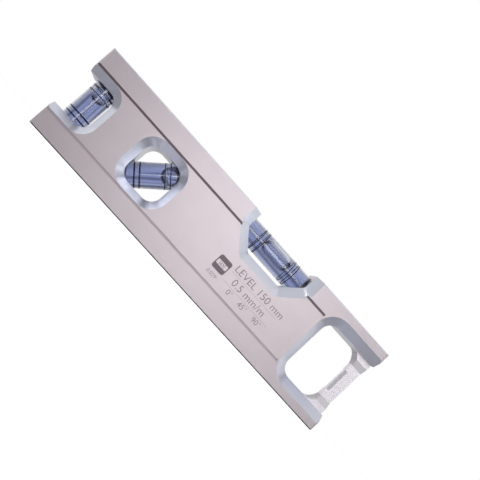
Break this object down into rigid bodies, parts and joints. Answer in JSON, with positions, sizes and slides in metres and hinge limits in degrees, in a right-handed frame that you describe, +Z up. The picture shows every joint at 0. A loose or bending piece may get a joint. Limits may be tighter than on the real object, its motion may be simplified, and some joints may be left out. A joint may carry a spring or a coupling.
{
  "type": "spirit level",
  "caption": "Pocket spirit level: a machined bar with level, plumb and 45 degree vials, a strap window and a magnetic pipe channel along its base.",
  "frame": {"origin": "middle of the base, on the surface that the level stands on", "axes": "+X along the bar towards the strap window, +Y from the front face to the back face, +Z up"},
  "size_m": [0.15, 0.02, 0.04],
  "materials": {
    "bar_aluminium": "fine bead-blasted and anodised faces with bright cut bevels",
    "insert_aluminium": "satin, machined flush",
    "vial_acrylic": "polished clear acrylic",
    "plug_acrylic": "clear acrylic, glued in",
    "vial_liquid": "clear blue-violet spirit",
    "bubble_air": "air bubble",
    "ring_black": "matt black line ring",
    "magnet_nickel": "nickel-plated magnet"
  },
  "bodies": {
    "bar": {"body": "bar_aluminium", "level_vial": "vial_acrylic", "level_vial_plug": "plug_acrylic", "level_liquid": "vial_liquid", "level_ring_1": "ring_black", "level_ring_2": "ring_black", "level_ring_3": "ring_black", "level_ring_4": "ring_black", "plumb_vial": "vial_acrylic", "plumb_vial_plug": "plug_acrylic", "plumb_liquid": "vial_liquid", "plumb_ring_1": "ring_black", "plumb_ring_2": "ring_black", "plumb_ring_3": "ring_black", "plumb_ring_4": "ring_black", "diagonal_vial": "vial_acrylic", "diagonal_vial_plug": "plug_acrylic", "diagonal_liquid": "vial_liquid", "diagonal_ring_1": "ring_black", "diagonal_ring_2": "ring_black", "diagonal_ring_3": "ring_black", "diagonal_ring_4": "ring_black", "level_saddle_left": "insert_aluminium", "level_saddle_right": "insert_aluminium", "plumb_bore_plug": "insert_aluminium", "diagonal_bore_plug": "insert_aluminium", "base_magnet_1": "magnet_nickel", "base_magnet_2": "magnet_nickel", "base_magnet_3": "magnet_nickel", "base_magnet_4": "magnet_nickel"},
    "level_bubble": {"level_bubble": "bubble_air"},
    "plumb_bubble": {"plumb_bubble": "bubble_air"},
    "diagonal_bubble": {"diagonal_bubble": "bubble_air"}
  },
  "joints": [
    {"name": "level_bubble_slide", "type": "slide", "parent": "bar", "child": "level_bubble", "axis": [1, 0, 0], "range_m": [-0.01, 0.01], "stiffness_N_per_m": 0.02, "deforming": ["level_liquid"]},
    {"name": "plumb_bubble_slide", "type": "slide", "parent": "bar", "child": "plumb_bubble", "axis": [0, 0, 1], "range_m": [-0.0129, 0], "stiffness_N_per_m": 0.1, "springref_m": 0.05, "deforming": ["plumb_liquid"]},
    {"name": "diagonal_bubble_slide", "type": "slide", "parent": "bar", "child": "diagonal_bubble", "axis": [0.7071, 0, 0.7071], "range_m": [-0.0149, 0], "stiffness_N_per_m": 0.1, "springref_m": 0.05, "deforming": ["diagonal_liquid"]}
  ]
}
